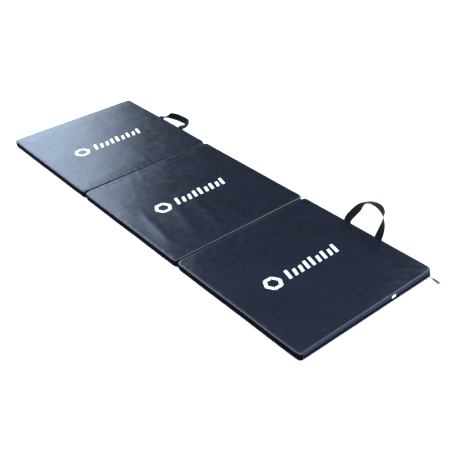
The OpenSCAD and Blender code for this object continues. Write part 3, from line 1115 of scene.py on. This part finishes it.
def slider():
    """Two shaped plates, in front of the coil and behind it, with a neck between them."""
    lo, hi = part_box("zip_slider_body")
    y = (lo.y + hi.y) / 2
    half, nose = (hi.z - lo.z) / 2, (hi.y - lo.y) / 2
    tail, waist, round_off, plate_t = nose - 0.003, half * 0.62, 0.0035, 0.0012
    shape = [(nose - round_off * (1 - math.cos(t * math.pi / 2)) - 0.0002, half * t * 0.96)
             for t in np.linspace(-1, 1, 15)]
    shape += [(-tail, half), (-nose, waist), (-nose, -waist), (-tail, -half)]
    parts = [plate("slider_plate", [shape], plate_t, 0.0003,
                   Matrix.Translation((x, y, ZIP_Z)) @ STAND_UP, METAL)
             for x in (hi.x - plate_t / 2, lo.x + plate_t / 2)]
    neck = rectangle(nose - 0.004, -0.0003, nose - 0.0005, 0.0003, 0.0002)
    parts.append(plate("slider_neck", [neck], hi.x - lo.x - 0.001, 0.0001,
                       Matrix.Translation(((lo.x + hi.x) / 2, y, ZIP_Z)) @ STAND_UP, METAL))
    zip_piece(join("zip_slider", parts), "zip_slider_body", "zip_slider")


def bridge():
    """The slider's loop that the link hangs on."""
    lo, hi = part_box("zip_slider_bridge")
    bar = 0.0013
    outline = rectangle(lo.x - 0.0002, lo.y, hi.x, hi.y, 0.0012)
    hole = rectangle(lo.x + 0.0003, lo.y + bar, hi.x - bar, hi.y - bar, 0.0005)
    obj = plate("zip_bridge", [outline, hole], hi.z - lo.z, 0.0004,
                Matrix.Translation((0, 0, ZIP_Z)), METAL)
    zip_piece(obj, "zip_slider_bridge", "zip_slider")


slider()
bridge()

PULL_DROP = math.radians(15.5)
PULL_SWING = math.radians(10)
LINK_PITCH = 0.0045
LINK_R = 0.0024
LINK_BAR = 0.0011
TAB_PIVOT = LINK_PITCH + LINK_R - LINK_BAR / 2 - 0.00007


def link_outline(r):
    turn = math.pi
    return (circle(r, LINK_PITCH, 16, -turn / 2, turn) + [(LINK_PITCH, r)]
            + circle(r, 0, 16, turn / 2, turn) + [(0, -r)])


def pull():
    """The wire link on the bridge, and the flat tab with an eye for the link and a hole."""
    lo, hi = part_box("zip_slider_bridge")
    on_bridge = (Matrix.Translation((hi.x - 0.00065, (lo.y + hi.y) / 2, ZIP_Z))
                 @ Matrix.Rotation(PULL_DROP, 4, "Y"))
    link = plate("zip_link_ring", [link_outline(LINK_R), link_outline(LINK_R - LINK_BAR)],
                 LINK_BAR, 0.0004, on_bridge @ Matrix.Rotation(math.pi / 2, 4, "X"), BRIGHT)
    zip_piece(link, "zip_pull_link", "zip_link")
    length, thick, edge, eye, half = 0.035, 0.0012, 0.00032, 0.0021, 0.005
    eye_hole, end_hole, end = 0.0011, 0.0025, length - half
    neck = [(0.0045, eye), (0.0085, half * 0.95)]
    outline = (circle(eye, 0, 14, math.radians(70), math.radians(220))
               + [(x, -y) for x, y in neck] + circle(half, end, 16, -math.pi / 2, math.pi)
               + [(end, half)] + neck[::-1])
    at = (on_bridge @ Matrix.Translation((TAB_PIVOT, 0, 0))
          @ Matrix.Rotation(PULL_SWING, 4, "Z"))
    tab = plate("zip_tab", [outline, circle(eye_hole, 0, 20), circle(end_hole, end, 24)], thick,
                edge, at, METAL)
    zip_piece(tab, "zip_pull_tab", "zip_pull")


pull()


# ---- label
def label():
    """A blank woven tab, caught in the upper seam and hanging a little off the wall."""
    lo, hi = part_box("blank_label")
    tall, wide = hi.z - lo.z, hi.y - lo.y
    cols, rows, half_t = 12, 9, 0.00025
    ys = [lo.y + wide * k / cols for k in range(cols + 1)]
    seam = Vector((lo.x - 0.0011, THICK - TOP_SEAM))
    line = [seam, seam + Vector((0.0007, -0.0001)), seam + Vector((0.0013, -0.0005)),
            seam + Vector((0.0016, -0.0012))]
    length = sum((b - a).length for a, b in zip(line, line[1:]))
    for t in (k / rows for k in range(1, rows + 1)):
        line.append(line[3] + Vector((0.0004 * t ** 2, -(tall - length) * t)))
    rings, heights = [], [0.0]
    for r, (x, z) in enumerate(line):
        if r:
            heights.append(heights[-1] + (line[r] - line[r - 1]).length)
        front, back = [], []
        for y in ys:
            wave = 0.0002 * math.sin((y - lo.y) / wide * math.pi * 1.4 + 0.6) * r / len(line)
            front.append(Vector((x + half_t + wave, y, z)))
            back.append(Vector((x - half_t + wave, y, z)))
        rings.append(front + back[::-1])
    obj = sweep("blank_tab", rings, LABEL, [y - lo.y for y in ys + ys[::-1]], heights)
    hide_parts("blank_label")
    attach(obj, "right_panel")


label()


# ---- floor, light, camera
FLOOR = floor_material()


def stage_floor():
    size, cells, below = 30.0, 6, -0.0006
    verts = [(size * (i / cells - 0.5), size * (j / cells - 0.5), below)
             for i in range(cells + 1) for j in range(cells + 1)]
    corners = [i * (cells + 1) + j for i in range(cells) for j in range(cells)]
    faces = [(a, a + cells + 1, a + cells + 2, a + 1) for a in corners]
    floor = new_object("studio_floor", verts, faces, [FLOOR])
    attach(floor, "right_panel")


stage_floor()


# bright fields round the mat, in degrees: bearing, half width, lower and upper edge, then light
FIELDS = [(195.5, 43.5, 12.0, 43.0, (3.75, 4.7, 6.0)),
          (46.0, 72.0, 10.0, 60.0, (2.3, 2.7, 3.3)),
          (285.0, 45.0, 10.0, 65.0, (3.0, 2.9, 2.9))]
FIELD_SOFT = 4.0
CEILING = (0.75, 1.0, 1.4)


def world():
    """An even studio: three broad soft windows, a bright ceiling and a pale horizon."""
    w = bpy.data.worlds.new("studio")
    bpy.context.scene.world = w
    w.use_nodes = True
    n = Nodes(w.node_tree)
    out = n.tree.nodes.new("ShaderNodeOutputWorld")
    split = n.tree.nodes.new("ShaderNodeSeparateXYZ")
    n.tree.links.new(n.add("TexCoord", {}, out="Generated"), split.inputs[0])
    x, y, z = split.outputs
    degrees = 180 / math.pi
    height = n.times(n.math("ARCSINE", z), degrees)

    def lit(color, amount):
        return n.add("VectorMath", {0: color, "Scale": amount}, operation="SCALE")

    def edge(value, at, before, after):
        return n.band(value, at - FIELD_SOFT, at + FIELD_SOFT, before, after, "SMOOTHSTEP")

    ceiling = n.math("ADD", n.band(height, 33, 60, 0.0, 0.45), n.band(height, 58, 72, 0.0, 1.0))
    total = lit(CEILING, ceiling)
    horizon = n.band(height, 8, 20, 1.0, 0.06, "SMOOTHSTEP")
    total = n.add("VectorMath", {0: total, 1: lit((1.0, 1.0, 1.0), horizon)}, operation="ADD")
    for bearing, half, low, high, light in FIELDS:
        c, s = math.cos(math.radians(bearing)), math.sin(math.radians(bearing))
        ahead = n.math("ADD", n.times(x, c), n.times(y, s))
        aside = n.math("SUBTRACT", n.times(y, c), n.times(x, s))
        off = n.times(n.math("ABSOLUTE", n.math("ARCTAN2", aside, ahead)), degrees)
        mask = n.times(edge(height, low, 0.0, 1.0), edge(height, high, 1.0, 0.0))
        mask = n.times(edge(off, half, 1.0, 0.0), mask)
        total = n.add("VectorMath", {0: total, 1: lit(light, mask)}, operation="ADD")
    back = n.add("Background", {"Color": total, "Strength": 1.0})
    n.tree.links.new(back, out.inputs[0])


world()


CAMERA_AT = (2.0369, -1.4250, 1.5698)
CAMERA_RIGHT = (0.63790, 0.76921, -0.03736)
CAMERA_UP = (-0.41803, 0.38660, 0.82206)
CAMERA_BACK = (0.64678, -0.50878, 0.56817)


def camera():
    data = bpy.data.cameras.new("camera")
    data.lens = 58.63
    data.sensor_width = 36
    data.clip_end = 60
    cam = linked("camera", data)
    turn = Matrix((CAMERA_RIGHT, CAMERA_UP, CAMERA_BACK)).transposed().to_4x4()
    cam.matrix_world = Matrix.Translation(CAMERA_AT) @ turn
    bpy.context.scene.camera = cam


camera()
bpy.context.scene.view_settings.view_transform = "Standard"
